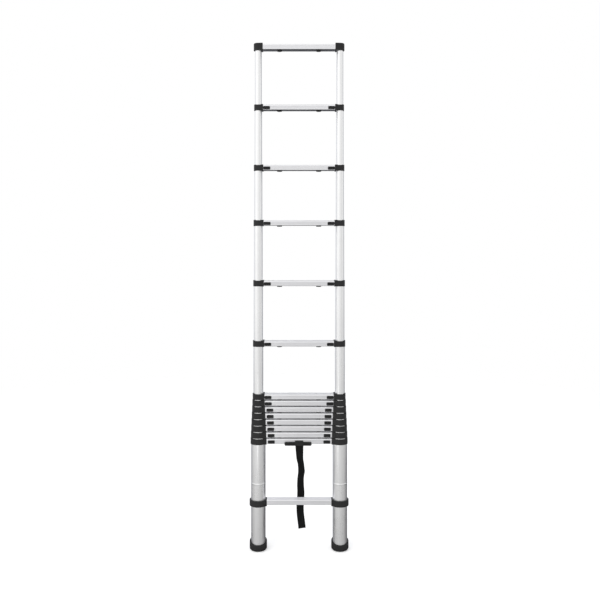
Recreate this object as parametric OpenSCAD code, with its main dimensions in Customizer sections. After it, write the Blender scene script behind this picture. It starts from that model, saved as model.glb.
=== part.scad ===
// Telescoping ladder: two stiles of nested aluminium tubes joined by hollow rungs.
// The origin is on the ground, midway between the feet. X runs across the ladder,
// -Y is the front, where the release buttons are, and +Z is up.

/* [Ladder] */
// Number of telescoping sections above the fixed bottom rung
section_count = 14; // [12:1:14]
// Number of sections that stand pushed together at the bottom, each on the one below
stacked_count = 8; // [2:1:8]
// Distance between rung centres when a section is drawn out to its lock
rung_pitch = 295; // [280:1:300]
// Distance between rung centres when a section is pushed in
stack_pitch = 31; // [31:0.1:32]
// Height of the bottom rung's centre above the ground
bottom_rung_z = 236; // [200:1:260]
// Height of the first telescoping section's rung centre above the ground
first_rung_z = 534; // [500:1:560]
// How far the lowest drawn-out section stands below its lock
low_shortfall = 36; // [0:1:60]
// How far the fourth drawn-out section stands below its lock
fourth_shortfall = 25; // [0:1:60]

/* [Stiles] */
// Distance between the two stile axes
stile_spacing = 400; // [370:5:440]
// Outside diameter of the bottom tube
bottom_tube_d = 71; // [70:0.5:74]
// Outside diameter lost from one tube to the next
tube_step = 2.9; // [2.85:0.05:3]
// Wall thickness of every tube
tube_wall = 1.2; // [1.1:0.05:1.2]
// Length of every tube above the bottom one
tube_length = 430; // [415:5:440]

/* [Rungs] */
// Front-to-back depth of a rung
rung_depth = 46; // [44:1:48]
// Height of a rung over its tread ribs
rung_height = 26; // [25.5:0.1:26.5]
// Wall thickness of a rung
rung_wall = 1.4; // [1.2:0.1:1.6]

/* [Collars and latches] */
// Wall of the collar around its tube
collar_wall = 2.7; // [2.4:0.1:3]
// Distance from a tube's surface to the end of its rung
neck_length = 6; // [5.5:0.1:7]
// Length of a release button
button_length = 33.5; // [30:0.5:36]
// Height of a release button
button_height = 15; // [12:0.5:15]
// Distance a latch slides from locked to released
latch_travel = 6; // [4:0.5:6]
// Number of stacked sections whose latches are held back by the tube inside them
released_count = 6; // [0:1:8]

/* [Base] */
// Outside radius of the feet
foot_r = 42.5; // [41:0.5:45]
// Outside radius of the brackets that hold the bottom rung
bracket_r = 43; // [41:0.5:45]

/* [Hidden] */
$fn = 72;

// Running clearance between parts that slide, and the slack between parts that are glued
slide_gap = 0.2;
glue_gap = 0.05;
overcut = 1;

// Shape of the rung extrusion
rung_corner = 4;
rib_height = 0.7;
rib_width = 1.6;
rib_count = 9;
track_depth = 0.8;
latch_z = -2.5;
track_height = button_height + 0.8;
rung_body_h = rung_height - rib_height;
rung_body_z = -rib_height / 2;

// Heights along a collar, counted from its rung's centre
collar_h = stack_pitch - 0.5;
tube_top = 8;
lip_z = tube_top + slide_gap;
notch_top = 2;
notch_bottom = 0.5;
notch_inset = 7.5;
flange_thick = 3;
flange_half_depth = rung_depth / 2 + 1;

// The hollow plug that carries the rung, and the pocket in it for the latch
plug_length = 46;
plug_r = rung_depth / 2 - rung_wall - track_depth - glue_gap;
plug_low = rung_body_z - rung_body_h / 2 + rung_wall + glue_gap;
plug_high = rung_body_z + rung_body_h / 2 - rung_wall - glue_gap;
pocket_start = 6;
pocket_end = 42.5;
pocket_half_h = 6;
pocket_back = 7;

// The latch: a button on the rung's front face, a slide in the plug, a pin and its spring
button_gap = 0.4;
button_thick = 4;
button_corner = 4;
button_middle = button_gap + button_length / 2;
slide_half_length = 8;
slide_half_h = 5.5;
slide_back = 6;
shank_half_length = 6;
shank_half_h = 3;
pin_r = 4;
pin_hole_r = 4.4;
spring_r = 4.5;
spring_hole_r = 3.2;
spring_length = 11;

// Buffer pads under the rungs and the bushes in the tube ends
pad_r = 12.5;
pad_x = 96;
pad_height = stack_pitch - rung_height - 0.3;
bush_spigot = 20;
bush_flange = 6;
bush_wall = 4;

// Top caps, whose low end stands on the collar below as any collar does
cap_low = -collar_h / 2;
cap_top = cap_low + 35;
cap_roof = 3;

// Base parts
foot_front_h = 31;
foot_back_h = 56;
foot_sole = 8;
foot_edge = 12;
sole_groove = 3;
sole_groove_pitch = 12;
bead_z = 327;
bead_half = 4;
bead_proud = 0.8;
bracket_h = 29.5;
bracket_drop = 3.5;
bracket_reach = bracket_r - 0.3;

// Strap and the bar it hangs from
strap_bar_length = 132;
strap_bar_h = 18;
strap_bar_thick = 7;
strap_bar_drop = 10.5;
strap_bar_x = -5;
strap_bar_corner = 6;
hump_length = 41;
hump_rise = 6;
hump_proud = 2;
hump_corner = 3;
strap_top = first_rung_z - strap_bar_drop - strap_bar_h / 2 - glue_gap;
strap_thick = 3.2;

// The tread ribs sit evenly between the rung's rounded corners
rib_pitch = (rung_depth - 2 * rung_corner - rib_width) / (rib_count - 1);

SECTIONS = [1:section_count];
LATCHED = [1:section_count - 1];
SIDES = [-1, 1];

function two_digits(k) = k < 10 ? str("0", k) : str(k);
function side_name(side) = side < 0 ? "left" : "right";
function frame_name(k) = str("section_", two_digits(k), "_tubes_rung");
function collar_name(k) = str("section_", two_digits(k), k < section_count ? "_collars" : "_caps");
function latch_name(k, side) = str("latch_", two_digits(k), "_", side_name(side));

// Sizes of section k, counted from the bottom
function tube_r(k) = (bottom_tube_d - tube_step * (k - 1)) / 2;
function collar_r(k) = tube_r(k) + collar_wall;
function neck_x(k) = tube_r(k) + neck_length;
function tube_bottom(k) = k == 1 ? foot_sole - first_rung_z : tube_top - tube_length;

// How far a drawn-out section stands below its lock in the resting pose
function short_of_lock(k) =
    k == stacked_count + 1 ? low_shortfall
    : k == stacked_count + 4 ? fourth_shortfall
    : 0;

function rung_z(k) =
    k == 1 ? first_rung_z
    : k <= stacked_count ? rung_z(k - 1) + stack_pitch
    : rung_z(k - 1) + rung_pitch - short_of_lock(k);

// How far the latches of section k are drawn back in the resting pose
function latch_shift(k) = k <= released_count ? latch_travel : 0;

// Puts its children on one stile's axis, with +X pointing to the ladder's middle
module on_stile(side) {
    translate([side * stile_spacing / 2, 0, 0])
        mirror([side > 0 ? 1 : 0, 0, 0])
            children();
}

module on_both_stiles() {
    for (side = SIDES)
        on_stile(side) children();
}

// Lifts its children from the height of section k's rung centre
module at_section(k) {
    translate([0, 0, rung_z(k)]) children();
}

// Extrudes a front-to-back outline across the ladder, centred on the middle
module across(length) {
    rotate([90, 0, 90])
        linear_extrude(length, center = true)
            children();
}

module rounded_rectangle(size, r) {
    square([size.x - 2 * r, size.y], center = true);
    square([size.x, size.y - 2 * r], center = true);
    for (x = [-1, 1])
        for (y = [-1, 1])
            translate([x * (size.x / 2 - r), y * (size.y / 2 - r)]) circle(r);
}

// A round bar that starts on the stile axis and points to the ladder's middle
module inward_bar(r, start, end) {
    translate([start, 0, 0])
        rotate([0, 90, 0])
            cylinder(r = r, h = end - start);
}

module ring(outer_r, inner_r, low, high) {
    difference() {
        translate([0, 0, low]) cylinder(r = outer_r, h = high - low);
        translate([0, 0, low - overcut]) cylinder(r = inner_r, h = high - low + 2 * overcut);
    }
}

// The rung's outline: a rounded box with a shallow track in the front and back faces
module rung_outline() {
    difference() {
        translate([0, rung_body_z]) rounded_rectangle([rung_depth, rung_body_h], rung_corner);
        for (face = [-1, 1])
            translate([face * rung_depth / 2, latch_z])
                square([2 * track_depth, track_height], center = true);
    }
    for (i = [0:rib_count - 1])
        translate([(i - (rib_count - 1) / 2) * rib_pitch, rung_height / 2 - rib_height])
            square([rib_width, 2 * rib_height], center = true);
}

module rung_hollow() {
    hollow_depth = 2 * (plug_r + glue_gap);
    translate([0, rung_body_z])
        square([hollow_depth, rung_body_h - 2 * rung_wall], center = true);
}

module rung_bar(half_length) {
    across(2 * half_length)
        difference() {
            rung_outline();
            rung_hollow();
        }
}

// The slot in a rung's front wall through which the button holds its slide
module shank_slot(k) {
    slot_half_length = shank_half_length + latch_travel / 2 + slide_gap;
    slot_half_h = shank_half_h + slide_gap;
    translate([neck_x(k) + button_middle + latch_travel / 2, -rung_depth / 2, latch_z])
        cube([2 * slot_half_length, 4 * (rung_wall + track_depth), 2 * slot_half_h], center = true);
}

module section_rung(k) {
    difference() {
        rung_bar(stile_spacing / 2 - neck_x(k) - glue_gap);
        if (k < section_count)
            on_both_stiles() shank_slot(k);
    }
}

// One tube of section k, with the hole for its own latch pin near the top and,
// one rung pitch lower, the hole that the latch of the section below locks into
module section_tube(k) {
    difference() {
        union() {
            ring(tube_r(k), tube_r(k) - tube_wall, tube_bottom(k), tube_top);
            if (k == 1)
                translate([0, 0, bead_z - first_rung_z]) tube_bead();
        }
        if (k < section_count)
            translate([0, 0, latch_z]) inward_bar(pin_hole_r, 0, tube_r(k) + overcut);
        if (k > 1)
            translate([0, 0, latch_z - rung_pitch]) inward_bar(pin_hole_r, 0, tube_r(k) + overcut);
    }
}

// The bead rolled round the bottom tube, a flat arc in section
module tube_bead() {
    arc_r = (bead_half * bead_half + bead_proud * bead_proud) / (2 * bead_proud);
    rotate_extrude()
        intersection() {
            translate([tube_r(1) + bead_proud - arc_r, 0]) circle(arc_r);
            translate([tube_r(1) - tube_wall / 2, -bead_half])
                square([tube_wall + bead_proud, 2 * bead_half]);
        }
}

module section_frame(k) {
    color("silver")
        at_section(k) {
            on_both_stiles() section_tube(k);
            section_rung(k);
        }
}

// Plan of section k's collar or cap: a sleeve that widens into a flange as deep as the rung
module flanged_plan(k, sleeve_r) {
    circle(sleeve_r);
    polygon([
        [0, -sleeve_r],
        [neck_x(k) - flange_thick, -flange_half_depth],
        [neck_x(k), -flange_half_depth],
        [neck_x(k), flange_half_depth],
        [neck_x(k) - flange_thick, flange_half_depth],
        [0, sleeve_r]
    ]);
}

// The plug that a rung end slides over, from the collar's flange inwards
module rung_plug(start, end) {
    translate([start, -plug_r, plug_low])
        cube([end - start, 2 * plug_r, plug_high - plug_low]);
}

// The pocket in the plug for the latch slide and its spring, open to the front
module latch_pocket(k) {
    translate([neck_x(k) + pocket_start, -plug_r - overcut, latch_z - pocket_half_h])
        cube([pocket_end - pocket_start, plug_r + overcut + pocket_back, 2 * pocket_half_h]);
}

// A cut across the front of a collar, from height low to height high
module front_notch(k, low, high) {
    half_width = tube_r(k) - notch_inset;
    translate([-half_width, -collar_r(k) - overcut, low])
        cube([2 * half_width, collar_r(k), high - low]);
}

module collar(k) {
    difference() {
        union() {
            translate([0, 0, -collar_h / 2])
                linear_extrude(collar_h) flanged_plan(k, collar_r(k));
            rung_plug(neck_x(k) - glue_gap, neck_x(k) + plug_length);
        }
        translate([0, 0, -collar_h / 2 - overcut])
            cylinder(r = tube_r(k) + glue_gap, h = collar_h / 2 + overcut + lip_z);
        cylinder(r = tube_r(k + 1) + slide_gap, h = collar_h);
        front_notch(k, collar_h / 2 - notch_top, collar_h / 2 + overcut);
        front_notch(k, -collar_h / 2 - overcut, -collar_h / 2 + notch_bottom);
        translate([0, 0, latch_z])
            inward_bar(pin_hole_r, 0, neck_x(k) + pocket_start + overcut);
        latch_pocket(k);
    }
}

// The guide bush that closes a tube's lower end and runs in the tube around it
module tube_bush(k) {
    difference() {
        union() {
            translate([0, 0, tube_bottom(k) - bush_flange])
                cylinder(r = tube_r(k), h = bush_flange - glue_gap);
            translate([0, 0, tube_bottom(k) - bush_flange])
                cylinder(r = tube_r(k) - tube_wall - glue_gap, h = bush_flange + bush_spigot);
        }
        translate([0, 0, tube_bottom(k) - bush_flange - overcut])
            cylinder(r = tube_r(k) - tube_wall - bush_wall, h = bush_flange + bush_spigot + 2 * overcut);
    }
}

// The two round buffer pads under a rung, on which a pushed-in section rests
module buffer_pads() {
    for (side = SIDES)
        translate([side * pad_x, 0, -rung_height / 2 - pad_height])
            cylinder(r = pad_r, h = pad_height - glue_gap);
}

module section_mouldings(k) {
    color("#262628")
        at_section(k) {
            on_both_stiles() {
                if (k < section_count) collar(k);
                if (k == section_count) top_cap();
                if (k > 1) tube_bush(k);
            }
            if (k > 1) buffer_pads();
        }
}

// The closed cap on top of the last tube, with a short plug for the top rung
module top_cap() {
    top_k = section_count;
    difference() {
        union() {
            translate([0, 0, cap_low])
                linear_extrude(cap_top - cap_low) flanged_plan(top_k, neck_x(top_k) - glue_gap);
            rung_plug(neck_x(top_k) - glue_gap, neck_x(top_k) + plug_length / 2);
        }
        translate([0, 0, cap_low - overcut])
            cylinder(r = tube_r(top_k) + glue_gap, h = tube_top + glue_gap + overcut - cap_low);
        translate([0, 0, tube_top])
            cylinder(r = tube_r(top_k) - tube_wall, h = cap_top - cap_roof - tube_top);
    }
}

// The part of a latch under the thumb: a plate with rounded corners
module latch_button() {
    rotate([90, 0, 0])
        linear_extrude(button_thick)
            rounded_rectangle([button_length, button_height], button_corner);
}

// The block behind the button, drilled for the pin
module latch_slide() {
    slide_front = -plug_r + slide_gap;
    difference() {
        translate([-slide_half_length, slide_front, -slide_half_h])
            cube([2 * slide_half_length, slide_back - slide_front, 2 * slide_half_h]);
        inward_bar(pin_r + glue_gap, -slide_half_length - overcut, 0);
    }
}

// One latch in its locked place, on the stile's axis: button, slide, pin and spring
module latch_parts(k) {
    middle = neck_x(k) + button_middle;
    button_back = -rung_depth / 2 + track_depth - slide_gap;
    shank_depth = -plug_r - button_back + 2 * overcut + slide_gap;
    spring_start = middle + slide_half_length + glue_gap;
    translate([middle, 0, 0]) {
        translate([0, button_back, 0]) latch_button();
        translate([-shank_half_length, button_back - overcut, -shank_half_h])
            cube([2 * shank_half_length, shank_depth, 2 * shank_half_h]);
        latch_slide();
    }
    inward_bar(pin_r, tube_r(k + 1) + slide_gap / 2, middle - glue_gap);
    difference() {
        inward_bar(spring_r, spring_start, spring_start + spring_length);
        inward_bar(spring_hole_r, middle, spring_start + spring_length + overcut);
    }
}

module latch(k, side) {
    color("#151517")
        at_section(k)
            on_stile(side)
                translate([latch_shift(k), 0, latch_z])
                    latch_parts(k);
}

// A round rubber foot: a grooved sole under a socket whose rim rises to the back
module foot() {
    rim_tilt = atan((foot_back_h - foot_front_h) / (2 * foot_r));
    difference() {
        rotate_extrude()
            intersection() {
                translate([0, foot_back_h / 2]) rounded_rectangle([2 * foot_r, foot_back_h], foot_edge);
                square([foot_r, foot_back_h]);
            }
        translate([0, 0, foot_sole]) cylinder(r = tube_r(1) + glue_gap, h = foot_back_h);
        translate([0, 0, (foot_front_h + foot_back_h) / 2])
            rotate([rim_tilt, 0, 0])
                translate([-2 * foot_r, -2 * foot_r, 0])
                    cube([4 * foot_r, 4 * foot_r, foot_back_h]);
        for (i = [-2:2])
            translate([-foot_r, i * sole_groove_pitch - sole_groove / 2, -overcut])
                cube([2 * foot_r, sole_groove, sole_groove + overcut]);
    }
}

module feet() {
    color("#1c1c1e") on_both_stiles() foot();
}

module bottom_rung() {
    color("lightsteelblue")
        translate([0, 0, bottom_rung_z])
            rung_bar(stile_spacing / 2 - bracket_reach - glue_gap);
}

// The ring round the bottom tube, cut flat where the bottom rung's end meets it
module bottom_bracket() {
    low = -bracket_h / 2 - bracket_drop;
    difference() {
        union() {
            intersection() {
                translate([0, 0, low]) cylinder(r = bracket_r, h = bracket_h);
                translate([-bracket_r, -bracket_r, low])
                    cube([bracket_r + bracket_reach, 2 * bracket_r, bracket_h]);
            }
            translate([0, -flange_half_depth, low])
                cube([bracket_reach, 2 * flange_half_depth, bracket_h]);
            rung_plug(bracket_reach - glue_gap, bracket_reach + plug_length);
        }
        translate([0, 0, low - overcut])
            cylinder(r = tube_r(1) + glue_gap, h = bracket_h + 2 * overcut);
    }
}

module bottom_brackets() {
    color("#1c1c1e")
        translate([0, 0, bottom_rung_z])
            on_both_stiles() bottom_bracket();
}

// The bar on the first section's rung that holds the top of the strap
module strap_bar() {
    color("#151517")
        translate([0, -rung_depth / 2 - glue_gap, first_rung_z - strap_bar_drop])
            rotate([90, 0, 0]) {
                linear_extrude(strap_bar_thick)
                    translate([strap_bar_x, 0])
                        rounded_rectangle([strap_bar_length, strap_bar_h], strap_bar_corner);
                linear_extrude(strap_bar_thick + hump_proud)
                    translate([0, hump_rise / 2])
                        rounded_rectangle([hump_length, strap_bar_h + hump_rise], hump_corner);
            }
}

// The strap's shape from the front: two layers wide at the top, one layer lower down
module strap_front() {
    left_edge = [[-19, strap_top], [-6, 424], [-5, 384], [-14, 220], [-10, 160], [-2, 92]];
    right_edge = [
        [31, 99], [20, 220], [23, 341], [20, 362], [28, 372], [28, 384], [20, 451], [21, strap_top]
    ];
    polygon(concat(left_edge, right_edge));
}

// The strap's path from the side: in front of the stack, then behind the bottom rung
module strap_side() {
    path = [[-26, strap_top], [-26, 461], [4, 336], [26, 263], [26, 208], [21, 90]];
    front = [for (point = path) [point.x - strap_thick / 2, point.y]];
    back = [for (i = [len(path) - 1:-1:0]) [path[i].x + strap_thick / 2, path[i].y]];
    polygon(concat(front, back));
}

module strap() {
    color("#111113")
        intersection() {
            rotate([90, 0, 0])
                linear_extrude(2 * rung_depth, center = true) strap_front();
            across(2 * rung_depth) strap_side();
        }
}

feet();
bottom_rung();
bottom_brackets();
strap_bar();
strap();
for (k = SECTIONS) {
    section_frame(k);
    section_mouldings(k);
}
for (k = LATCHED)
    for (side = SIDES)
        latch(k, side);
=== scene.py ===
"""A telescoping ladder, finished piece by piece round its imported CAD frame.

All shapes are worked out in millimetres in the row frame: X runs across the ladder, -Y is
the front and +Z is up. Shapes that sit on a stile are made on its axis with +X pointing to
the ladder's middle, then placed on the left stile and mirrored onto the right one.
"""
import math

import bmesh
import bpy
from mathutils import Matrix, Vector
from mathutils.geometry import tessellate_polygon


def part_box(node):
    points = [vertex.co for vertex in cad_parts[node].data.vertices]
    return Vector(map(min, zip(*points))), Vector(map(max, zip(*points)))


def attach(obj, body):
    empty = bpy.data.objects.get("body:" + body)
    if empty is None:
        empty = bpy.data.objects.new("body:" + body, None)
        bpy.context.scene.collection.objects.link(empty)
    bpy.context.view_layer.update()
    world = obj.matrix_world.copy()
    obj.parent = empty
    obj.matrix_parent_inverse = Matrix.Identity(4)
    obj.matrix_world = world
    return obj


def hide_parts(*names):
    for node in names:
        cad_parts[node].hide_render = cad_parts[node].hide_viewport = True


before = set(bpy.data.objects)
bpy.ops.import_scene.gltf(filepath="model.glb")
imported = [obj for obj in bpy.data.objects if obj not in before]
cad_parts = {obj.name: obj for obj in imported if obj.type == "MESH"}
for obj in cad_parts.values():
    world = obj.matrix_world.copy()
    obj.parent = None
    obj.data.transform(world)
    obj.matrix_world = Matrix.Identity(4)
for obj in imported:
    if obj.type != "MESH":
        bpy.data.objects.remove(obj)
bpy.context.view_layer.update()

MM = 0.001
SAME_POINT = 1e-7
TAU = 2 * math.pi

# Points on a circle: plain rounds, mouldings with a flange, and small bars
ROUND = 96
SLEEVE_ROUND = 144
BAR_ROUND = 32

# Ladder sizes in millimetres, which follow the CAD model
SECTION_COUNT = 14
STILE_X = 200
RUNG_PITCH = 295
GLUE = 0.05
SLIDE = 0.2

# Tubes and the bead on the bottom one
TUBE_WALL = 1.2
TUBE_TOP = 8
TUBE_RIM = 0.3
BEAD_Z = 327
BEAD_PROUD = 0.8
BEAD_HALF = 4

# The rung extrusion, with heights counted from its centre
RUNG_DEPTH = 46
RUNG_TOP = 13
RUNG_BOTTOM = -13
RUNG_CORNER = 4
RUNG_WALL = 1.4
RIB_HEIGHT = 0.7
RIB_WIDTH = 1.6
RIB_PITCH = 4.55
RIBS_PER_SIDE = 4
RIB_EDGE = 0.3
TRACK_DEPTH = 0.8
TRACK_HALF = 7.9
FLUTE_COUNT = 7
FLUTE_DEPTH = 0.22

# Collars, top caps and the plugs in the rung ends
COLLAR_WALL = 2.7
NECK = 6
COLLAR_HALF = 15.25
LIP_Z = 8.2
PLUG_HALF_DEPTH = 20.75
PLUG_LOW = -11.55
PLUG_HIGH = 10.85
PLUG_LENGTH = 46
FLANGE_HALF = 24
FLANGE_THICK = 3
NOTCH_TOP = 2
NOTCH_BOTTOM = 0.5
NOTCH_INSET = 7.5
NOTCH_RAMP = 1.2
CAP_HEIGHT = 35
CAP_EDGE = 3.5
CAP_ROOF = 3

# Buffer pads and tube bushes
PAD_X = 96
PAD_R = 12.5
PAD_HEIGHT = 4.7
BUSH_FLANGE = 6
BUSH_SPIGOT = 20
BUSH_WALL = 4

# Latches and their pockets in the plugs
LATCH_Z = -2.5
TRAVEL = 6
PIN_R = 4
PIN_HOLE_R = 4.4
PIN_GAP = 0.1
POCKET_START = 6
POCKET_END = 42.5
POCKET_BACK = 7
POCKET_HALF = 6
BUTTON_GAP = 0.4
BUTTON_LENGTH = 33.5
BUTTON_HEIGHT = 15
BUTTON_CORNER = 4
BUTTON_THICK = 4
BUTTON_DIP = 1.5
BUTTON_MIDDLE = BUTTON_GAP + BUTTON_LENGTH / 2
SHANK_HALF_LENGTH = 6
SHANK_HALF = 3
BLOCK_HALF_LENGTH = 8
BLOCK_HALF = 5.5
BLOCK_BACK = 6
SPRING_LENGTH = 11
SPRING_R = 3.85
SPRING_WIRE = 0.62
SPRING_TURNS = 6


# ---------------------------------------------------------------- shapes

class Shape:
    """Vertices and faces in millimetres, with a finish number for each face."""

    def __init__(self, verts=(), faces=()):
        self.verts = [Vector(v) for v in verts]
        self.faces = [tuple(f) for f in faces]
        self.finishes = [0] * len(self.faces)

    def __add__(self, other):
        joined = Shape(self.verts + other.verts)
        first = len(self.verts)
        joined.faces = self.faces + [tuple(first + i for i in f) for f in other.faces]
        joined.finishes = self.finishes + other.finishes
        return joined

    def placed(self, matrix):
        """A copy moved by a matrix."""
        copy = Shape([matrix @ v for v in self.verts])
        flip = matrix.determinant() < 0
        copy.faces = [tuple(reversed(f)) if flip else f for f in self.faces]
        copy.finishes = list(self.finishes)
        return copy

    def moved(self, x=0, y=0, z=0):
        return self.placed(Matrix.Translation((x, y, z)))

    def painted(self, finish):
        """The same shape with one finish number on all its faces."""
        self.finishes = [finish] * len(self.faces)
        return self


FACE_FRONT = Matrix.Rotation(math.radians(90), 4, "X")
ALONG_X = Matrix.Rotation(math.radians(90), 4, "Y")
LEFT = Matrix.Translation((-STILE_X, 0, 0))
RIGHT = Matrix.Translation((STILE_X, 0, 0)) @ Matrix.Diagonal((-1, 1, 1, 1))
STILES = {"left": LEFT, "right": RIGHT}


def pair(shape):
    """The shape on the left stile and its mirror image on the right one."""
    return shape.placed(LEFT) + shape.placed(RIGHT)


def skin(loops, closed=False):
    """A solid whose surface runs over loops of equally many points, ends closed with flat faces."""
    count = len(loops[0])
    verts = [p for loop in loops for p in loop]
    faces = []
    for i in range(len(loops) if closed else len(loops) - 1):
        a = i * count
        b = (i + 1) % len(loops) * count
        for j in range(count):
            k = (j + 1) % count
            faces.append((a + j, a + k, b + k, b + j))
    if not closed:
        last = len(verts) - count
        faces.append(tuple(reversed(range(count))))
        faces.append(tuple(range(last, last + count)))
    return Shape(verts, faces)


def lathe(profile, closed=False, count=ROUND):
    """A solid of revolution round Z, from (radius, height) points."""
    turns = [TAU * i / count for i in range(count)]
    loops = [[(r * math.cos(a), r * math.sin(a), z) for a in turns] for r, z in profile]
    return skin(loops, closed)


def arc(cx, cy, r, start, end, steps=5):
    """Points on an arc, angles in degrees."""
    angles = [math.radians(start + (end - start) * i / steps) for i in range(steps + 1)]
    return [(cx + r * math.cos(a), cy + r * math.sin(a)) for a in angles]


def rounded_outline(width, height, r, steps=5):
    """A rectangle with rounded corners about the origin, anticlockwise."""
    x = width / 2 - r
    y = height / 2 - r
    return (arc(x, y, r, 0, 90, steps) + arc(-x, y, r, 90, 180, steps)
            + arc(-x, -y, r, 180, 270, steps) + arc(x, -y, r, 270, 360, steps))


def slab(width, height, corner, low, high, edge=0.0):
    """A rounded rectangle extruded from low to high along Z, with its rims rounded by edge."""
    levels = [(0, low), (0, high)]
    if edge:
        near = edge * 0.3
        levels = [(edge, low), (near, low + near), (0, low + edge),
                  (0, high - edge), (near, high - near), (edge, high)]
    loops = []
    for inset, z in levels:
        r = max(corner - inset, 0.05)
        outline = rounded_outline(width - 2 * inset, height - 2 * inset, r)
        loops.append([(x, y, z) for x, y in outline])
    return skin(loops)


def block(x0, x1, y0, y1, z0, z1, corner=0.3, edge=0.0):
    """A box between two corners, for hidden parts and cuts."""
    return slab(x1 - x0, y1 - y0, corner, z0, z1, edge).moved((x0 + x1) / 2, (y0 + y1) / 2)


def bar_along_x(r, start, end, edge=0.0):
    """A round bar along X, from start to end."""
    profile = [(r, start), (r, end)]
    if edge:
        profile = [(r - edge, start), (r, start + edge), (r, end - edge), (r - edge, end)]
    return lathe(profile, count=BAR_ROUND).placed(ALONG_X)


def evaluated(shape, modify):
    """The shape after the modifiers that modify() puts on it."""
    thing = shape_object("work", shape)
    modify(thing)
    depsgraph = bpy.context.evaluated_depsgraph_get()
    mesh = bpy.data.meshes.new_from_object(thing.evaluated_get(depsgraph))
    result = Shape([v.co / MM for v in mesh.vertices], [p.vertices for p in mesh.polygons])
    result.finishes = [p.material_index for p in mesh.polygons]
    bpy.data.objects.remove(thing)
    return result


def combine(shape, other, operation):
    """The two shapes after an exact boolean operation."""
    tool = shape_object("tool", other)

    def modify(thing):
        boolean = thing.modifiers.new("combine", "BOOLEAN")
        boolean.operation = operation
        boolean.solver = "EXACT"
        boolean.object = tool

    result = evaluated(shape, modify)
    bpy.data.objects.remove(tool)
    return result


def cut(shape, other):
    return combine(shape, other, "DIFFERENCE")


def union(shape, other):
    return combine(shape, other, "UNION")


def shape_mesh(name, shape):
    """The shape as a mesh in metres, with its faces turned outwards."""
    mesh = bpy.data.meshes.new(name)
    mesh.from_pydata([v * MM for v in shape.verts], [], shape.faces)
    mesh.polygons.foreach_set("material_index", shape.finishes)
    work = bmesh.new()
    work.from_mesh(mesh)
    bmesh.ops.remove_doubles(work, verts=work.verts, dist=SAME_POINT)
    bmesh.ops.recalc_face_normals(work, faces=work.faces)
    work.to_mesh(mesh)
    work.free()
    return mesh


def shape_object(name, shape):
    thing = bpy.data.objects.new(name, shape_mesh(name, shape))
    bpy.context.scene.collection.objects.link(thing)
    return thing


def make_piece(name, shape, body, nodes, materials, sharp=35):
    """Adds one finished piece: it rides on body and stands for the CAD nodes. Edges that turn
    by more than sharp degrees stay hard."""
    piece = shape_object(name, shape)
    for material in materials:
        piece.data.materials.append(material)
    piece.data.shade_smooth()
    piece.data.set_sharp_from_angle(angle=math.radians(sharp))
    shading = piece.modifiers.new("flat faces stay flat", "WEIGHTED_NORMAL")
    shading.keep_sharp = True
    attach(piece, body)
    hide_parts(*nodes)
    return piece


# ---------------------------------------------------------------- materials

class Tree:
    """Short calls that build a node tree."""

    def __init__(self, tree):
        self.tree = tree

    def add(self, kind, values=None, **settings):
        node = self.tree.nodes.new("ShaderNode" + kind)
        for key, value in settings.items():
            setattr(node, key, value)
        for key, value in (values or {}).items():
            if isinstance(value, bpy.types.NodeSocket):
                self.tree.links.new(value, node.inputs[key])
            else:
                node.inputs[key].default_value = value
        return node

    def math(self, operation, a, b=0.0):
        return self.add("Math", {0: a, 1: b}, operation=operation).outputs[0]

    def remap(self, value, from_low, from_high, to_low, to_high):
        node = self.add("MapRange", {0: value, 1: from_low, 2: from_high, 3: to_low, 4: to_high})
        return node.outputs[0]

    def mix(self, factor, a, b, blend="MIX"):
        node = self.add("Mix", {0: factor, 6: a, 7: b}, data_type="RGBA", blend_type=blend)
        return node.outputs[2]

    def noise(self, place, scale, detail=3.0, roughness=0.5):
        node = self.add("TexNoise", {"Vector": place, "Scale": 1.0, "Detail": detail,
                                     "Roughness": roughness})
        if isinstance(scale, tuple):
            stretched = self.add("Mapping", {"Vector": place, "Scale": scale})
            self.tree.links.new(stretched.outputs[0], node.inputs["Vector"])
        else:
            node.inputs["Scale"].default_value = scale
        return node.outputs["Fac"]

    def bump(self, height, distance, strength=1.0, normal=None):
        values = {"Height": height, "Distance": distance, "Strength": strength}
        if normal is not None:
            values["Normal"] = normal
        return self.add("Bump", values).outputs[0]


def grey(value, blue=1.0):
    return (value, value, value * blue, 1.0)


def new_material(name):
    """A new material, its empty node tree and its object coordinates."""
    material = bpy.data.materials.new(name)
    material.use_nodes = True
    material.node_tree.nodes.clear()
    tree = Tree(material.node_tree)
    place = tree.add("TexCoord").outputs["Object"]
    return material, tree, place


def finish_material(tree, values):
    """Ends the tree with one surface that has these values."""
    surface = tree.add("BsdfPrincipled", values)
    output = tree.add("OutputMaterial")
    tree.tree.links.new(surface.outputs[0], output.inputs["Surface"])


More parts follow.
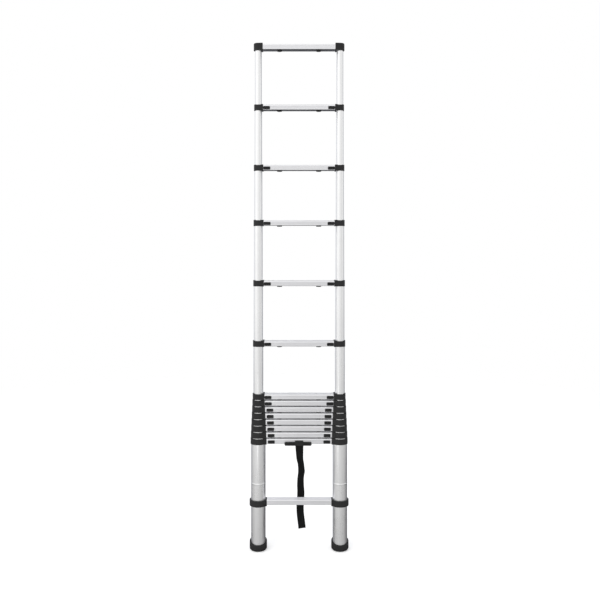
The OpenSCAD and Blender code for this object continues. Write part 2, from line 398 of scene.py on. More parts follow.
def brushed_aluminium(name, light, dark, along, roughness, blue=1.0):
    """Satin aluminium with drawn lines along one axis, soft streaks, smudges and fine rubs."""
    material, tree, place = new_material(name)

    def stretched(across, length):
        return tuple(length if axis == along else across for axis in "XYZ")

    lines = tree.noise(place, stretched(1500, 12), 2, 0.6)
    streaks = tree.noise(place, stretched(180, 2.5), 3, 0.55)
    smudges = tree.noise(place, 14, 4, 0.6)
    rubs = tree.noise(place, stretched(420, 5), 5, 0.75)
    rub_marks = tree.remap(rubs, 0.62, 0.78, 0, 1)
    broad = tree.math("MULTIPLY", streaks, 0.65)
    tone = tree.math("ADD", broad, tree.math("MULTIPLY", lines, 0.35))
    colour = tree.mix(tree.remap(tone, 0.32, 0.68, 0, 1), grey(dark, blue), grey(light, blue))
    colour = tree.mix(tree.math("MULTIPLY", rub_marks, 0.25), colour, grey(dark * 0.8, blue))
    rough = tree.math("ADD", tree.remap(lines, 0.3, 0.7, roughness - 0.03, roughness + 0.03),
                      tree.remap(smudges, 0.35, 0.7, -0.03, 0.06))
    normal = tree.bump(lines, 0.00004, 0.6)
    normal = tree.bump(rubs, 0.00003, 0.4, normal)
    finish_material(tree, {"Base Color": colour, "Metallic": 1.0, "Roughness": rough,
                           "Normal": normal})
    return material


def moulded(name, base, roughness, grain, grain_depth, edge_wear, specular):
    """Moulded plastic or rubber: fine grain, cloudy tone and sheen, edges rubbed lighter."""
    material, tree, place = new_material(name)
    cloud = tree.noise(place, 55, 4, 0.6)
    fine = tree.noise(place, grain, 2, 0.5)
    scuffs = tree.noise(place, (900, 900, 90), 4, 0.7)
    edges = tree.remap(tree.add("NewGeometry").outputs["Pointiness"], 0.51, 0.58, 0, edge_wear)
    colour = tree.mix(cloud, grey(base * 0.75), grey(base * 1.3, 1.03))
    colour = tree.mix(edges, colour, grey(0.35))
    colour = tree.mix(tree.remap(scuffs, 0.66, 0.8, 0, 0.12), colour, grey(0.25))
    rough = tree.math("ADD", tree.remap(cloud, 0.3, 0.7, roughness - 0.05, roughness + 0.05),
                      tree.remap(fine, 0.3, 0.7, -0.04, 0.04))
    normal = tree.bump(fine, grain_depth, 0.8)
    finish_material(tree, {"Base Color": colour, "Roughness": rough, "Normal": normal,
                           "Specular IOR Level": specular})
    return material


def woven_webbing(name):
    """Dark woven tape: chevron ribs from the ribbon's own across and along coordinates."""
    material, tree, place = new_material(name)
    woven = tree.add("Attribute", attribute_name="weave").outputs["Vector"]
    parts = tree.add("SeparateXYZ", {0: woven})
    across, along = parts.outputs[0], parts.outputs[1]
    column = tree.math("PINGPONG", across, 4.0)
    ribs = tree.math("SINE", tree.math("MULTIPLY", tree.math("ADD", along, column), TAU / 1.5))
    yarns = tree.math("SINE", tree.math("MULTIPLY", across, TAU / 1.0))
    weave = tree.math("ADD", tree.math("MULTIPLY", ribs, 0.6), tree.math("MULTIPLY", yarns, 0.4))
    fuzz = tree.noise(place, 2600, 3, 0.6)
    tone = tree.noise(place, (120, 120, 25), 4, 0.6)
    colour = tree.mix(tree.remap(weave, -1, 1, 0, 1), grey(0.002), grey(0.009, 1.05))
    colour = tree.mix(tree.remap(tone, 0.45, 0.75, 0, 0.5), colour, grey(0.015))
    height = tree.math("ADD", weave, tree.math("MULTIPLY", fuzz, 0.5))
    normal = tree.bump(height, 0.00018, 0.8)
    rough = tree.remap(weave, -1, 1, 0.75, 0.55)
    finish_material(tree, {"Base Color": colour, "Roughness": rough, "Normal": normal,
                           "Specular IOR Level": 0.1, "Sheen Weight": 0.02,
                           "Sheen Roughness": 0.4})
    return material


tube_metal = brushed_aluminium("tube_aluminium", light=0.93, dark=0.85, along="Z", roughness=0.3)
steel = brushed_aluminium("steel", light=0.62, dark=0.5, along="X", roughness=0.3)
rung_finishes = [
    brushed_aluminium("rung_aluminium", 0.91, 0.84, "X", roughness=0.32, blue=1.02),
    brushed_aluminium("rung_track", 0.83, 0.76, "X", roughness=0.32, blue=1.02),
    # painted shade: the third finish is dark to stand in for the shade under each rung and in the
    # gaps between stacked rungs
    brushed_aluminium("rung_underside_painted_shade", 0.32, 0.24, "X", roughness=0.4, blue=1.02),
]
collar_nylon = moulded("collar_nylon", base=0.01, roughness=0.42, grain=1700,
                       grain_depth=0.00006, edge_wear=0.05, specular=0.24)
bracket_nylon = moulded("bracket_nylon", base=0.01, roughness=0.42, grain=1700,
                        grain_depth=0.00006, edge_wear=0.05, specular=0.26)
button_plastic = moulded("button_plastic", base=0.006, roughness=0.32, grain=2200,
                         grain_depth=0.00002, edge_wear=0.03, specular=0.28)
strap_nylon = moulded("strap_nylon", base=0.007, roughness=0.38, grain=1900,
                      grain_depth=0.00003, edge_wear=0.03, specular=0.25)
foot_rubber = moulded("foot_rubber", base=0.011, roughness=0.6, grain=1300,
                      grain_depth=0.00008, edge_wear=0.04, specular=0.28)
webbing = woven_webbing("strap_webbing")


# ---------------------------------------------------------------- sections

class Section:
    """Sizes of one telescoping section, from its CAD box."""

    def __init__(self, k):
        self.k = k
        self.body = f"section_{k:02d}"
        self.frame_node = f"{self.body}_tubes_rung"
        self.moulding_node = self.body + ("_caps" if k == SECTION_COUNT else "_collars")
        low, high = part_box(self.frame_node)
        self.z = high.z / MM - RUNG_TOP
        self.tube_r = high.x / MM - STILE_X - (BEAD_PROUD if k == 1 else 0)
        self.tube_low = low.z / MM - self.z
        self.collar_r = self.tube_r + COLLAR_WALL
        self.neck = self.tube_r + NECK


sections = {k: Section(k) for k in range(1, SECTION_COUNT + 1)}


def tube(section):
    """One stile tube, its rims broken, with the holes for the lock pins."""
    r = section.tube_r
    bore = r - TUBE_WALL
    low = section.tube_low
    outside = [(r - TUBE_RIM, low), (r, low + TUBE_RIM)]
    if section.k == 1:
        bead = BEAD_Z - section.z
        steps = 8
        for step in range(-steps, steps + 1):
            share = step / steps
            outside.append((r + BEAD_PROUD * math.cos(share * TAU / 4), bead + share * BEAD_HALF))
    outside += [(r, TUBE_TOP - TUBE_RIM), (r - TUBE_RIM, TUBE_TOP)]
    inside = [(bore + 0.2, TUBE_TOP), (bore, TUBE_TOP - 0.2), (bore, low + 0.2), (bore + 0.2, low)]
    shape = lathe(outside + inside, closed=True)
    drill = bar_along_x(PIN_HOLE_R, 2, r + 2).moved(z=LATCH_Z)
    if section.k < SECTION_COUNT:
        shape = cut(shape, drill)
    if section.k > 1:
        shape = cut(shape, drill.moved(z=-RUNG_PITCH))
    return shape


def rung_outline():
    """The rung's cross-section as (y, z) points, from the middle of the tread round by the back:
    a ribbed tread, rounded corners and a fluted track in each side."""
    body_top = RUNG_TOP - RIB_HEIGHT
    rib_shoulder = RUNG_TOP - RIB_EDGE
    half = RUNG_DEPTH / 2
    half_rib = RIB_WIDTH / 2
    side = [(half_rib - RIB_EDGE, RUNG_TOP), (half_rib, rib_shoulder), (half_rib, body_top)]
    for i in range(1, RIBS_PER_SIDE + 1):
        near = i * RIB_PITCH - half_rib
        far = i * RIB_PITCH + half_rib
        side += [(near, body_top), (near, rib_shoulder), (near + RIB_EDGE, RUNG_TOP)]
        side += [(far - RIB_EDGE, RUNG_TOP), (far, rib_shoulder), (far, body_top)]
    side += arc(half - RUNG_CORNER, body_top - RUNG_CORNER, RUNG_CORNER, 90, 0, 8)[1:]
    top = LATCH_Z + TRACK_HALF
    bottom = LATCH_Z - TRACK_HALF
    floor = half - TRACK_DEPTH
    side += [(half, top + 0.3), (half - 0.3, top), (floor, top)]
    steps = FLUTE_COUNT * 6
    for i in range(1, steps):
        share = i / steps
        dip = FLUTE_DEPTH / 2 * (1 - math.cos(share * FLUTE_COUNT * TAU))
        side.append((floor - dip, top + share * (bottom - top)))
    side += [(floor, bottom), (half - 0.5, bottom)]
    low_corner = arc(half - RUNG_CORNER, RUNG_BOTTOM + RUNG_CORNER, RUNG_CORNER, 0, -90, 12)
    side += [p for p in low_corner if p[1] < bottom - 0.2]
    return side + [(-y, z) for y, z in reversed(side)]


def rung_hollow():
    """The outline of the space inside a rung as (y, z) points."""
    half = PLUG_HALF_DEPTH + GLUE
    low = RUNG_BOTTOM + RUNG_WALL
    high = RUNG_TOP - RIB_HEIGHT - RUNG_WALL
    middle = (low + high) / 2
    return [(y, z + middle) for y, z in rounded_outline(2 * half, high - low, 0.6, 3)]


def rung(half_length):
    """A rung extrusion across the ladder, open at both ends."""
    outer = rung_outline()
    inner = rung_hollow()
    verts = []
    for x in (-half_length, half_length):
        verts += [(x, y, z) for y, z in outer + inner]
    count = len(verts) // 2
    faces = []
    for first, size in ((0, len(outer)), (len(outer), len(inner))):
        for i in range(size):
            a = first + i
            b = first + (i + 1) % size
            faces.append((a, b, b + count, a + count))
    ring = [[Vector((0, y, z)) for y, z in outer], [Vector((0, y, z)) for y, z in inner]]
    for triangle in tessellate_polygon(ring):
        faces.append(tuple(triangle))
        faces.append(tuple(i + count for i in reversed(triangle)))
    return Shape(verts, faces)


def finished_rung(shape):
    """The rung with finish 1 on the floors of its tracks and 2 on its underside: finish 2 is
    rougher, and its dark tone is painted shade that stands in for the shade under each rung and in
    the gaps between stacked rungs.
    """
    shape.finishes = []
    for face in shape.faces:
        middle = sum((shape.verts[i] for i in face), Vector()) / len(face)
        in_track = abs(middle.z - LATCH_Z) < TRACK_HALF - 0.1
        if in_track and 0 < RUNG_DEPTH / 2 - abs(middle.y) < TRACK_DEPTH + 0.3:
            finish = 1
        # faces on the underside get finish 2, the painted shade
        elif middle.z < RUNG_BOTTOM + 1:
            finish = 2
        else:
            finish = 0
        shape.finishes.append(finish)
    return shape


def section_rung(section):
    """A telescoping rung, slotted in front for the shanks of its two buttons."""
    shape = rung(STILE_X - section.neck - GLUE)
    if section.k < SECTION_COUNT:
        middle = section.neck + BUTTON_MIDDLE + TRAVEL / 2
        half_length = SHANK_HALF_LENGTH + TRAVEL / 2 + SLIDE
        half = SHANK_HALF + SLIDE
        slot = block(middle - half_length, middle + half_length, -30, -18,
                     LATCH_Z - half, LATCH_Z + half)
        shape = cut(shape, pair(slot))
    return finished_rung(shape)


def flange_reach(angle, r, neck):
    """How far a sleeve of radius r reaches at an angle, with a flange that ends at x = neck."""
    c = math.cos(angle)
    s = abs(math.sin(angle))
    if c <= 0:
        return r
    if abs(angle) <= math.atan2(FLANGE_HALF, neck):
        return max(r, neck / c)
    # the straight side from the sleeve's widest point to the flange
    reach = r
    edge = Vector((neck - FLANGE_THICK, FLANGE_HALF - r))
    across = edge.x * s - edge.y * c
    if across > 1e-6:
        reach = max(reach, edge.x * r / across)
    if FLANGE_HALF > r and s * reach > FLANGE_HALF:
        reach = FLANGE_HALF / s
    return reach


def sleeve_angles():
    return [TAU * (i + 0.5) / SLEEVE_ROUND - math.pi for i in range(SLEEVE_ROUND)]


def sleeve(outer, bores, low, high, edge):
    """A ring round the stile axis. outer, low and high are functions of the angle, and bores
    lists the (radius, height) points of the inside from top to bottom."""
    near = 0.3 * edge
    lead_in = 0.4
    top_r = bores[0][0]
    low_r = bores[-1][0]
    loops = []
    for angle in sleeve_angles():
        c = math.cos(angle)
        s = math.sin(angle)
        reach = outer(angle)
        z0 = low(angle)
        z1 = high(angle)
        profile = [(reach - edge, z0), (reach - near, z0 + near), (reach, z0 + edge),
                   (reach, z1 - edge), (reach - near, z1 - near), (reach - edge, z1)]
        profile += [(top_r + lead_in, z1), (top_r, z1 - lead_in)] + bores[1:-1]
        profile += [(low_r, z0 + lead_in), (low_r + lead_in, z0)]
        loops.append([(r * c, r * s, z) for r, z in profile])
    return skin(loops, closed=True)


def smooth_step(value, low, high):
    """0 up to low, 1 from high on, and a smooth rise between."""
    share = min(1.0, max(0.0, (value - low) / (high - low)))
    return share * share * (3 - 2 * share)


def plug(start, end):
    """The part of a moulding that the rung end slides over."""
    return block(start, end, -PLUG_HALF_DEPTH, PLUG_HALF_DEPTH, PLUG_LOW, PLUG_HIGH, 0.8, 0.4)


def collar(section, above):
    """A locking collar: sleeve, flange and plug, with a notch over the front of the tube above."""
    half_width = section.tube_r - NOTCH_INSET

    def in_notch(angle):
        """1 in the front notch, 0 outside it, with short ramps between."""
        if math.sin(angle) > 0:
            return 0.0
        aside = abs(math.cos(angle)) * section.collar_r
        return 1 - smooth_step(aside, half_width, half_width + NOTCH_RAMP)

    def outer(angle):
        return flange_reach(angle, section.collar_r, section.neck)

    def low(angle):
        return -COLLAR_HALF + NOTCH_BOTTOM * in_notch(angle)

    def high(angle):
        return COLLAR_HALF - NOTCH_TOP * in_notch(angle)

    lip_r = above.tube_r + SLIDE
    bore = section.tube_r + GLUE
    bores = [(lip_r, 0), (lip_r, LIP_Z), (bore, LIP_Z), (bore, 0)]
    shape = sleeve(outer, bores, low, high, 1.0)
    shape = union(shape, plug(section.neck - 1, section.neck + PLUG_LENGTH))
    pocket = block(section.neck + POCKET_START, section.neck + POCKET_END, -PLUG_HALF_DEPTH - 1,
                   POCKET_BACK, LATCH_Z - POCKET_HALF, LATCH_Z + POCKET_HALF)
    shape = cut(shape, pocket)
    drill = bar_along_x(PIN_HOLE_R, 2, section.neck + POCKET_START + 2)
    return cut(shape, drill.moved(z=LATCH_Z))


def top_cap(section):
    """The closed cap on the last tube: as wide as its flange, with a rounded top edge."""
    low = -COLLAR_HALF
    high = low + CAP_HEIGHT
    top_inset = 14
    levels = [(0.8, low), (0.2, low + 0.25), (0, low + 0.9)]
    steps = 6
    for i in range(steps + 1):
        turn = TAU / 4 * i / steps
        levels.append((CAP_EDGE * (1 - math.cos(turn)), high - CAP_EDGE * (1 - math.sin(turn))))
    levels.append((top_inset, high))
    loops = []
    for inset, z in levels:
        loop = []
        for angle in sleeve_angles():
            reach = flange_reach(angle, section.neck - GLUE, section.neck) - inset
            loop.append((reach * math.cos(angle), reach * math.sin(angle), z))
        loops.append(loop)
    shape = union(skin(loops), plug(section.neck - 1, section.neck + PLUG_LENGTH / 2))
    socket_r = section.tube_r + GLUE
    shape = cut(shape, lathe([(socket_r, low - 1), (socket_r, TUBE_TOP + GLUE)]))
    bore = section.tube_r - TUBE_WALL
    return cut(shape, lathe([(bore, TUBE_TOP - 1), (bore, high - CAP_ROOF)]))


def tube_bush(section):
    """The guide bush in a tube's lower end."""
    r = section.tube_r
    spigot = r - TUBE_WALL - GLUE
    bore = r - TUBE_WALL - BUSH_WALL
    low = section.tube_low
    shoulder = low + BUSH_FLANGE - GLUE
    top = low + BUSH_FLANGE + BUSH_SPIGOT
    profile = [(r - 0.6, low), (r, low + 0.6), (r, shoulder), (spigot, shoulder),
               (spigot, top - 0.5), (spigot - 0.5, top), (bore, top), (bore, low)]
    return lathe(profile, closed=True)


def buffer_pad():
    """A round rubber pad under a rung, with a rounded rim and a dimple in its foot."""
    low = RUNG_BOTTOM - PAD_HEIGHT
    high = RUNG_BOTTOM - GLUE
    dimple = [(3.2, low + 1), (4, low + 0.9), (4.6, low + 0.2), (5.2, low)]
    rim = [(PAD_R - 1.4, low), (PAD_R - 0.7, low + 0.2), (PAD_R - 0.2, low + 0.7),
           (PAD_R, low + 1.4)]
    return lathe(dimple + rim + [(PAD_R, high - 0.4), (PAD_R - 0.4, high)], count=64)


def button():
    """The thumb button: a rounded plate that is hollowed between its raised ends."""
    levels = [(0.5, 0.0), (0.0, 0.4), (0.0, 3.0), (0.25, 3.55), (0.6, 3.85), (1.2, BUTTON_THICK)]
    levels += [(inset, BUTTON_THICK) for inset in (2.0, 3.0, 4.2, 5.4, 6.6)]
    loops = []
    for inset, height in levels:
        outline = rounded_outline(BUTTON_LENGTH - 2 * inset, BUTTON_HEIGHT - 2 * inset,
                                  max(BUTTON_CORNER - inset, 0.4), 6)
        loop = []
        for x, y in outline:
            share = 2 * x / BUTTON_LENGTH
            dip = BUTTON_DIP * (1 - share * share) ** 1.5 if height > BUTTON_THICK / 2 else 0
            loop.append((x, y, height - dip))
        loops.append(loop)
    return skin(loops).placed(FACE_FRONT)


def coil(start, length, radius, wire, turns):
    """A compressed coil spring along X."""
    steps_per_turn = 14
    wire_sides = 6
    steps = turns * steps_per_turn
    loops = []
    for i in range(steps + 1):
        turn = TAU * i / steps_per_turn
        x = start + wire + (length - 2 * wire) * i / steps
        loop = []
        for j in range(wire_sides):
            around = TAU * j / wire_sides
            r = radius + wire * math.sin(around)
            loop.append((x + wire * math.cos(around), r * math.cos(turn), r * math.sin(turn)))
        loops.append(loop)
    return skin(loops)


def latch(section, above, shift):
    """Button, shank, slide, lock pin and return spring of one latch, on the stile's axis."""
    middle = section.neck + BUTTON_MIDDLE
    back = -RUNG_DEPTH / 2 + TRACK_DEPTH - SLIDE
    slide_front = -PLUG_HALF_DEPTH + SLIDE
    shape = button().moved(middle, back, 0)
    shape += block(middle - SHANK_HALF_LENGTH, middle + SHANK_HALF_LENGTH, back + 0.01,
                   slide_front - 0.01, -SHANK_HALF, SHANK_HALF, 0.8)
    slide = block(middle - BLOCK_HALF_LENGTH, middle + BLOCK_HALF_LENGTH, slide_front, BLOCK_BACK,
                  -BLOCK_HALF, BLOCK_HALF, 0.8, 0.4)
    shape += cut(slide, bar_along_x(PIN_R + GLUE, middle - BLOCK_HALF_LENGTH - 1, middle))
    shape += bar_along_x(PIN_R, above.tube_r + PIN_GAP, middle - GLUE, 0.6).painted(1)
    spring_start = middle + BLOCK_HALF_LENGTH + GLUE
    shape += coil(spring_start, SPRING_LENGTH, SPRING_R, SPRING_WIRE, SPRING_TURNS).painted(1)
    return shape.moved(shift, 0, LATCH_Z)


def latch_shift(section, side):
    """How far a latch is drawn back at rest, from where its CAD node is."""
    low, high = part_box(f"latch_{section.k:02d}_{side}")
    outer_end = max(abs(low.x), abs(high.x)) / MM
    return STILE_X - outer_end - above_of(section).tube_r - PIN_GAP


def above_of(section):
    return sections[section.k + 1]


for section in sections.values():
    z = section.z
    tubes = pair(tube(section)).moved(z=z)
    make_piece(f"{section.body}_stile_tubes", tubes, section.body,
               [section.frame_node], [tube_metal], sharp=40)
    make_piece(f"{section.body}_rung_bar", section_rung(section).moved(z=z), section.body,
               [section.frame_node], rung_finishes, sharp=25)
    if section.k < SECTION_COUNT:
        moulding = collar(section, above_of(section))
        moulding_name = f"{section.body}_collar_pair"
    else:
        moulding = top_cap(section)
        moulding_name = f"{section.body}_cap_pair"
    make_piece(moulding_name, pair(moulding).moved(z=z), section.body,
               [section.moulding_node], [collar_nylon])
    if section.k > 1:
        make_piece(f"{section.body}_bushes", pair(tube_bush(section)).moved(z=z), section.body,
                   [section.moulding_node], [collar_nylon])
        pads = buffer_pad().moved(-PAD_X) + buffer_pad().moved(PAD_X)
        make_piece(f"{section.body}_pads", pads.moved(z=z), section.body,
                   [section.moulding_node], [foot_rubber])
    if section.k < SECTION_COUNT:
        for side, stile in STILES.items():
            shape = latch(section, above_of(section), latch_shift(section, side))
            name = f"latch_{section.k:02d}_{side}"
            make_piece(f"{name}_button", shape.placed(stile).moved(z=z), f"{name}_slide",
                       [name], [button_plastic, steel])


# ---------------------------------------------------------------- base

BOTTOM_TUBE_R = sections[1].tube_r
FOOT_R = 42.5
FOOT_FRONT = 31
FOOT_BACK = 56
FOOT_SOLE = 8
FOOT_EDGE = 12
GROOVE = 3
GROOVE_PITCH = 12
BRACKET_R = 43
BRACKET_REACH = 42.7
BRACKET_LOW = -18.25
BRACKET_HIGH = 11.25


def foot():
    """A rubber foot: grooved sole, rounded lower edge and a rim that rises to the back."""
    bore = BOTTOM_TUBE_R + GLUE
    slope = (FOOT_BACK - FOOT_FRONT) / (2 * FOOT_R)
    rim = (FOOT_BACK + FOOT_FRONT) / 2
    core = 6
    turns = [TAU * i / ROUND for i in range(ROUND)]

    def level(r, z, lift=0.0):
        """A loop at radius r and height z; lift 1 follows the tilted rim."""
        tilt = lift * slope * r
        return [(r * math.cos(a), r * math.sin(a), z + tilt * math.sin(a)) for a in turns]

    loops = [level(core, 0), level(FOOT_R - FOOT_EDGE, 0)]
    steps = 8
    for i in range(1, steps + 1):
        a = TAU / 4 * i / steps
        loops.append(level(FOOT_R - FOOT_EDGE * (1 - math.sin(a)), FOOT_EDGE * (1 - math.cos(a))))
    for inset, drop in ((0, 1.5), (0.4, 0.4), (1.5, 0)):
        loops.append(level(FOOT_R - inset, rim - drop, 1))
    loops += [level(bore + 1, rim, 1), level(bore, rim - 1, 1)]
    loops += [level(bore, FOOT_SOLE), level(core, FOOT_SOLE)]
    grooves = Shape()
    for i in range(-2, 3):
        y = i * GROOVE_PITCH
        grooves += block(-FOOT_R - 1, FOOT_R + 1, y - GROOVE / 2, y + GROOVE / 2, -1, GROOVE, 0.2)
    return cut(skin(loops), grooves)


def bottom_bracket():
    """The ring and flange that hold the bottom rung."""

    def outer(angle):
        c = math.cos(angle)
        s = abs(math.sin(angle))
        if c <= 0:
            return BRACKET_R
        if abs(angle) < math.atan2(FLANGE_HALF, BRACKET_REACH):
            return BRACKET_REACH / c
        if s * BRACKET_R < FLANGE_HALF:
            return FLANGE_HALF / s
        return min(BRACKET_R, BRACKET_REACH / c)

    bore = BOTTOM_TUBE_R + GLUE
    bores = [(bore, BRACKET_HIGH), (bore, BRACKET_LOW)]
    shape = sleeve(outer, bores, lambda angle: BRACKET_LOW, lambda angle: BRACKET_HIGH, 1.2)
    return union(shape, plug(BRACKET_REACH - 1, BRACKET_REACH + PLUG_LENGTH))


bottom_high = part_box("bottom_rung")[1]
bottom_z = bottom_high.z / MM - RUNG_TOP
foot_shape = foot()
for side, stile in STILES.items():
    make_piece(f"foot_{side}", foot_shape.placed(stile), "section_01",
               ["feet"], [foot_rubber])
bracket_shape = bottom_bracket().moved(z=bottom_z)
for side, stile in STILES.items():
    make_piece(f"bottom_bracket_{side}", bracket_shape.placed(stile), "section_01",
               ["bottom_brackets"], [bracket_nylon])
bottom_rung = finished_rung(rung(bottom_high.x / MM)).moved(z=bottom_z)
make_piece("bottom_rung_bar", bottom_rung, "section_01", ["bottom_rung"],
           rung_finishes, sharp=25)


# ---------------------------------------------------------------- strap

BAR_LENGTH = 132
BAR_HEIGHT = 18
BAR_THICK = 7
BAR_X = -5
HUMP_LENGTH = 41
HUMP_RISE = 6
HUMP_THICK = 9
TAPE_THICK = 1.6

bar_low, bar_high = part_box("strap_bar")
bar_z = bar_low.z / MM + BAR_HEIGHT / 2
bar_y = bar_high.y / MM
plate = slab(BAR_LENGTH, BAR_HEIGHT, 6, 0, BAR_THICK, 1.6).moved(BAR_X)
hump = slab(HUMP_LENGTH, BAR_HEIGHT + HUMP_RISE, 3, 0, HUMP_THICK, 1.4).moved(y=HUMP_RISE / 2)
bar = union(plate, hump).placed(FACE_FRONT).moved(0, bar_y, bar_z)
make_piece("strap_hanger_bar", bar, "section_01", ["strap_bar"], [strap_nylon])


def through(points, value):
    """A smooth curve through (key, ...) rows sorted by falling key, read at one key."""
    rows = sorted(points, reverse=True)
    for i in range(len(rows) - 1):
        if value >= rows[i + 1][0] or i == len(rows) - 2:
            break
    before = rows[max(i - 1, 0)]
    a, b = rows[i], rows[i + 1]
    after = rows[min(i + 2, len(rows) - 1)]
    t = (a[0] - value) / (a[0] - b[0])
    result = []
    for p, q, r, s in zip(before[1:], a[1:], b[1:], after[1:]):
        slope_q = (r - p) / 2
        slope_r = (s - q) / 2
        result.append((2 * t ** 3 - 3 * t * t + 1) * q + (t ** 3 - 2 * t * t + t) * slope_q
                      + (3 * t * t - 2 * t ** 3) * r + (t ** 3 - t * t) * slope_r)
    return result


def ribbon(name, rows, end_slant):
    """A webbing tape. Each row is (height, middle x, middle y, width, turn in degrees), and
    end_slant is how much higher the right corner of the lower end is than the left one."""
    step = 3
    columns = 16
    # the weave pattern runs in millimetres of its own: this far to each side of this middle
    weave_half = 16.5
    weave_middle = 40
    top = max(row[0] for row in rows)
    bottom = min(row[0] for row in rows)
    length = top - bottom
    steps = int(length / step)
    across = [-1 + 2 * i / columns for i in range(columns + 1)]
    loops = []
    coordinates = []
    for i in range(steps + 1):
        z = top - length * i / steps
        x, y, width, turn = through(rows, z)
        heading = math.radians(turn)
        near_end = smooth_step(i / steps, 0.75, 1.0)
        front = []
        back = []
        for u in across:
            half = width / 2
            # a slight hollow across the tape, and thinner edges
            bow = 0.5 * (1 - u * u) * math.sin(z / 31)
            local = TAPE_THICK / 2 * (1 if abs(u) < 0.99 else 0.45)
            px = x + u * half * math.cos(heading)
            py = y + u * half * math.sin(heading) + bow
            pz = z + near_end * end_slant * (u + 1) / 2
            front.append((px, py - local, pz))
            back.append((px, py + local, pz))
        loops.append(front + list(reversed(back)))
        for u in across + across[::-1]:
            coordinates.append((u * weave_half + weave_middle, top - z, 0))
    piece = make_piece(name, skin(loops), "section_01", ["strap"], [webbing],
                       sharp=60)
    weave = piece.data.attributes.new("weave", "FLOAT_VECTOR", "POINT")
    for i, value in enumerate(coordinates):
        weave.data[i].vector = value


strap_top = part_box("strap")[1].z / MM
long_rows = [
    (strap_top, -1.5, -25.2, 33, 0), (486, 0.5, -25.4, 33, 2), (451, 3.5, -24.2, 33, 4),
    (425, 9, -18.5, 31, 10), (384, 11, -8.5, 32, 8), (347, 7.5, 1.5, 32, 2), (306, 7, 13, 34, -2),
    (279, 8.5, 21, 35.5, -2), (253, 8, 25.6, 36, 0), (219, 5.5, 26.2, 36, 0), (190, 5, 25.6, 36, 0),
    (161, 6.5, 24.2, 36, 0), (128, 10.5, 22.4, 36, 2), (92, 14.5, 21, 36, 2),
]
short_rows = [
    (strap_top, 4.5, -27.0, 33, 0), (486, 4.0, -27.2, 33, 2), (451, 4, -26.2, 33, 4),
    (425, 8.5, -20.5, 31, 10), (384, 12, -10.6, 33, 8), (362, 10.5, -4.8, 33, 5),
]
ribbon("strap_tape_long", long_rows, end_slant=5)
ribbon("strap_tape_short", short_rows, end_slant=9)


# ---------------------------------------------------------------- stage, light and camera

def ramp(tree, value, low, high, levels):
    """The level that (value, level) pairs from low to high give for a value."""
    most = 1.25
    node = tree.add("ValToRGB", {0: tree.remap(value, low, high, 0, 1)})
    elements = node.color_ramp.elements
    for i, (at, level) in enumerate(levels):
        place = (at - low) / (high - low)
        element = elements[i] if i < 2 else elements.new(place)
        element.position = place
        element.color = grey(level / most)
    return tree.math("MULTIPLY", node.outputs["Color"], most)


def build_world():
    """White for the camera. For the object, a soft studio: brightest at the front left, dimmer
    on the right and behind, and falling off towards the floor."""
    world = bpy.data.worlds.new("studio")
    bpy.context.scene.world = world
    world.use_nodes = True
    world.node_tree.nodes.clear()
    tree = Tree(world.node_tree)
    parts = tree.add("SeparateXYZ", {0: tree.add("TexCoord").outputs["Generated"]})
    right, back, up = parts.outputs
    # the turn from the front in degrees, with the right as +90
    turn = tree.math("ARCTAN2", right, tree.math("MULTIPLY", back, -1.0))
    turn = tree.math("DEGREES", turn)
    level_turn = ramp(tree, turn, -180, 180, [
        (-180, 0.5), (-135, 0.7), (-100, 0.95), (-75, 1.08), (-48, 1.14), (-25, 1.03),
        (-10, 0.96), (0, 0.93), (38, 0.8), (60, 0.8), (84, 0.92), (103, 0.82), (128, 0.36),
        (155, 0.4), (180, 0.5)])
    low_turn = ramp(tree, turn, -180, 180, [
        (-180, 0.4), (-125, 0.5), (-97, 0.68), (-76, 0.94), (-57, 1.0), (-30, 1.1),
        (-7, 1.06), (9, 1.02), (25, 0.97), (41, 0.9), (59, 0.8), (78, 0.6), (100, 0.36),
        (129, 0.15), (160, 0.2), (180, 0.4)])
    low = tree.remap(up, -0.15, -0.3, 0, 1)
    around = tree.math("ADD", tree.math("MULTIPLY", level_turn, tree.math("SUBTRACT", 1.0, low)),
                       tree.math("MULTIPLY", low_turn, low))
    height = ramp(tree, up, -1, 1, [
        (-1, 0.12), (-0.7, 0.25), (-0.46, 0.28), (-0.36, 0.5), (-0.28, 0.79), (-0.18, 0.84),
        (-0.1, 1.05), (0.15, 1.1), (0.4, 1.12), (1, 1.15)])
    level = tree.math("MULTIPLY", around, height)
    # a pale card on the ground in front, which lights the rungs' lower edges
    card = tree.math("MULTIPLY", tree.remap(up, -0.5, -0.72, 0, 1),
                     tree.remap(back, 0.1, -0.2, 0, 1))
    level = tree.math("ADD", level, tree.math("MULTIPLY", card, 0.45))
    to_back = tree.math("MAXIMUM", back, 0.0)
    tint = tree.mix(to_back, (1, 1, 1, 1), (0.94, 0.97, 1.06, 1))
    studio = tree.add("Background", {"Color": tint, "Strength": level})
    backdrop = tree.add("Background", {"Color": (1, 1, 1, 1), "Strength": 1.0})
    seen = tree.add("LightPath").outputs["Is Camera Ray"]
    mixed = tree.add("MixShader", {0: seen, 1: studio.outputs[0], 2: backdrop.outputs[0]})
    output = tree.add("OutputWorld")
    tree.tree.links.new(mixed.outputs[0], output.inputs["Surface"])


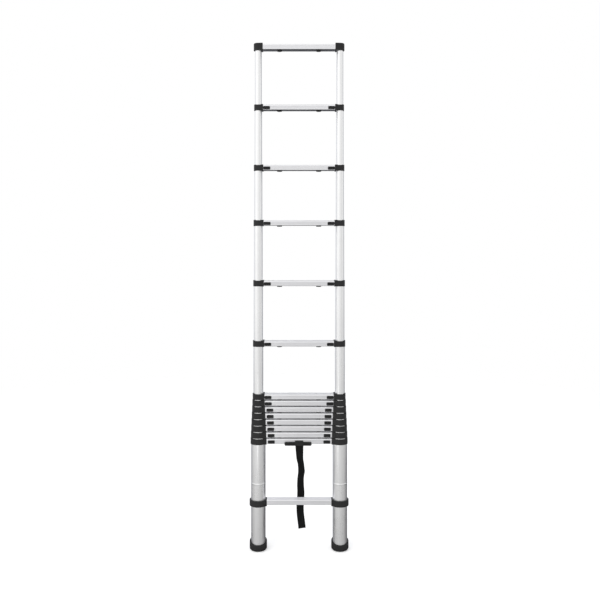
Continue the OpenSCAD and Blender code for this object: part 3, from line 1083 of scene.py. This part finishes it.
def build_floor():
    """A pale floor that fades into the white backdrop and stays out of the metal's reflections."""
    bpy.ops.mesh.primitive_circle_add(vertices=ROUND, radius=9, fill_type="NGON",
                                      location=(0, 0, -0.0005))
    floor = bpy.context.object
    floor.name = "floor"
    material = bpy.data.materials.new("floor")
    material.use_nodes = True
    material.node_tree.nodes.clear()
    tree = Tree(material.node_tree)
    place = tree.add("TexCoord").outputs["Object"]
    far = tree.add("VectorMath", {0: place}, operation="LENGTH").outputs["Value"]
    fade = tree.remap(far, 1.0, 5.0, 0, 1)
    path = tree.add("LightPath")
    lift = tree.math("MULTIPLY", path.outputs["Is Camera Ray"], 0.36)
    paint = tree.add("BsdfPrincipled", {"Base Color": grey(0.86), "Roughness": 1.0,
                                        "Specular IOR Level": 0.0, "Emission Color": grey(1.0),
                                        "Emission Strength": lift})
    hidden = tree.math("MAXIMUM", fade, path.outputs["Is Glossy Ray"])
    mixed = tree.add("MixShader", {0: hidden, 1: paint.outputs[0],
                                   2: tree.add("BsdfTransparent").outputs[0]})
    output = tree.add("OutputMaterial")
    tree.tree.links.new(mixed.outputs[0], output.inputs["Surface"])
    floor.data.materials.append(material)


def area_light(name, place, target, size, power, in_metal=False):
    """A soft light at place that faces target, which metal mirrors only when in_metal is set."""
    data = bpy.data.lights.new(name, "AREA")
    data.shape = "RECTANGLE"
    data.size, data.size_y = size
    data.energy = power
    light = bpy.data.objects.new(name, data)
    bpy.context.scene.collection.objects.link(light)
    light.location = place
    light.rotation_euler = (Vector(target) - Vector(place)).to_track_quat("-Z", "Y").to_euler()
    light.visible_glossy = in_metal
    light.visible_camera = False


def build_camera():
    """Level and straight at the front, from the height that shows the stack from just above."""
    distance = 3.6
    height = 1.4915
    aside = 0.0044
    shown_width = 2.945
    data = bpy.data.cameras.new("camera")
    data.sensor_width = 36
    data.lens = distance * data.sensor_width / shown_width
    data.shift_y = -0.0914
    camera = bpy.data.objects.new("camera", data)
    bpy.context.scene.collection.objects.link(camera)
    camera.location = (aside, -distance, height)
    camera.rotation_euler = (math.radians(90), 0, 0)
    bpy.context.scene.camera = camera


build_world()
build_floor()
area_light("key", (-1.6, -2.6, 3.4), (0, 0, 1.0), size=(1.8, 2.4), power=25)
area_light("low_left", (-0.3, -0.75, 0.45), (-0.14, 0, 0.64), size=(0.2, 0.4), power=0.17,
           in_metal=True)
build_camera()
bpy.context.scene.view_settings.view_transform = "Standard"
